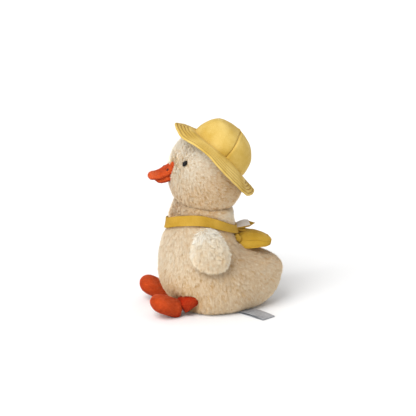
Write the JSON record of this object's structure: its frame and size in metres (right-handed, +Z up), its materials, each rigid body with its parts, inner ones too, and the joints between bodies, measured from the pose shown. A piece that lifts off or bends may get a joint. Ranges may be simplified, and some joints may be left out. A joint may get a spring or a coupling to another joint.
{
  "type": "plush duck",
  "caption": "Seated plush duck with a cotton rain hat that lifts off, a shoulder strap and a small padded bag; wings, legs and feet bend.",
  "frame": {"origin": "on the floor under the seat, on the plane midway between the legs", "axes": "+Z up, -Y towards the beak, +X towards the duck's own left side"},
  "size_m": [0.1441, 0.1782, 0.2436],
  "materials": {
    "plush": "short dense pile",
    "pale_plush": "longer fluffy pile",
    "suede": "short brushed nap",
    "beak_suede": "short brushed nap",
    "cotton": "fine woven cotton, matt",
    "dark_cotton": "fine woven cotton, matt",
    "loop": "woven white ribbon",
    "label_satin": "bare satin ribbon",
    "filling": "loose fibre",
    "pellets": "cloth bag of pellets",
    "eye_plastic": "glossy",
    "washer_plastic": "moulded",
    "thread": "embroidery thread"
  },
  "bodies": {
    "duck": {"body_cover": "plush", "body_stuffing": "filling", "pellet_bag": "pellets", "head_cover": "plush", "head_stuffing": "filling", "left_eye": "eye_plastic", "left_eye_washer": "washer_plastic", "right_eye": "eye_plastic", "right_eye_washer": "washer_plastic", "beak_upper": "beak_suede", "beak_lower": "beak_suede", "left_nostril_knot": "thread", "right_nostril_knot": "thread", "strap_band": "cotton"},
    "left_wing": {"left_wing_cover": "pale_plush", "left_wing_stuffing": "filling"},
    "right_wing": {"right_wing_cover": "pale_plush", "right_wing_stuffing": "filling"},
    "left_leg": {"left_leg_cover": "suede", "left_leg_stuffing": "filling"},
    "right_leg": {"right_leg_cover": "suede", "right_leg_stuffing": "filling"},
    "left_foot": {"left_foot_cover": "suede", "left_foot_stuffing": "filling"},
    "right_foot": {"right_foot_cover": "suede", "right_foot_stuffing": "filling"},
    "hat": {"hat_front_panel": "cotton", "hat_rear_panel": "cotton", "hat_brim_upper": "cotton", "hat_brim_lower": "cotton"},
    "bag": {"bag_front_panel": "cotton", "bag_back_panel": "dark_cotton", "bag_band": "cotton", "bag_padding": "filling"},
    "tab": {"closing_tab": "cotton", "closing_tab_patch": "loop"},
    "label": {"care_label": "label_satin"}
  },
  "joints": [
    {"name": "hat_lift", "type": "slide", "parent": "duck", "child": "hat", "axis": [0, 0.7193, 0.6947], "range_m": [0, 0.07]},
    {"name": "left_wing_lift", "type": "hinge", "parent": "duck", "child": "left_wing", "pos_m": [0.0444, -0.016, 0.1146], "axis": [0, -1, 0], "range_deg": [0, 60]},
    {"name": "right_wing_lift", "type": "hinge", "parent": "duck", "child": "right_wing", "pos_m": [-0.0444, -0.016, 0.1146], "axis": [0, 1, 0], "range_deg": [0, 60]},
    {"name": "left_leg_swing", "type": "hinge", "parent": "duck", "child": "left_leg", "pos_m": [0.032, -0.036, 0.023], "axis": [-1, 0, 0], "range_deg": [-25, 12], "stiffness_Nm_per_rad": 0.1},
    {"name": "right_leg_swing", "type": "hinge", "parent": "duck", "child": "right_leg", "pos_m": [-0.032, -0.036, 0.023], "axis": [-1, 0, 0], "range_deg": [-25, 12], "stiffness_Nm_per_rad": 0.1},
    {"name": "left_ankle_bend", "type": "hinge", "parent": "left_leg", "child": "left_foot", "pos_m": [0.0345, -0.0595, 0.0122], "axis": [-1, 0, 0], "range_deg": [-25, 12], "stiffness_Nm_per_rad": 0.05},
    {"name": "right_ankle_bend", "type": "hinge", "parent": "right_leg", "child": "right_foot", "pos_m": [-0.0345, -0.0595, 0.0122], "axis": [-1, 0, 0], "range_deg": [-25, 12], "stiffness_Nm_per_rad": 0.05},
    {"name": "bag_swing", "type": "hinge", "parent": "duck", "child": "bag", "pos_m": [0, 0.0306, 0.105], "axis": [1, 0, 0], "range_deg": [0, 45]},
    {"name": "tab_lift", "type": "hinge", "parent": "bag", "child": "tab", "pos_m": [0, 0.0302, 0.105], "axis": [1, 0, 0], "range_deg": [0, 50]},
    {"name": "label_flip", "type": "hinge", "parent": "duck", "child": "label", "pos_m": [0.03, 0.0315, 0.0005], "axis": [0.5519, -0.8339, 0], "range_deg": [0, 10]}
  ]
}
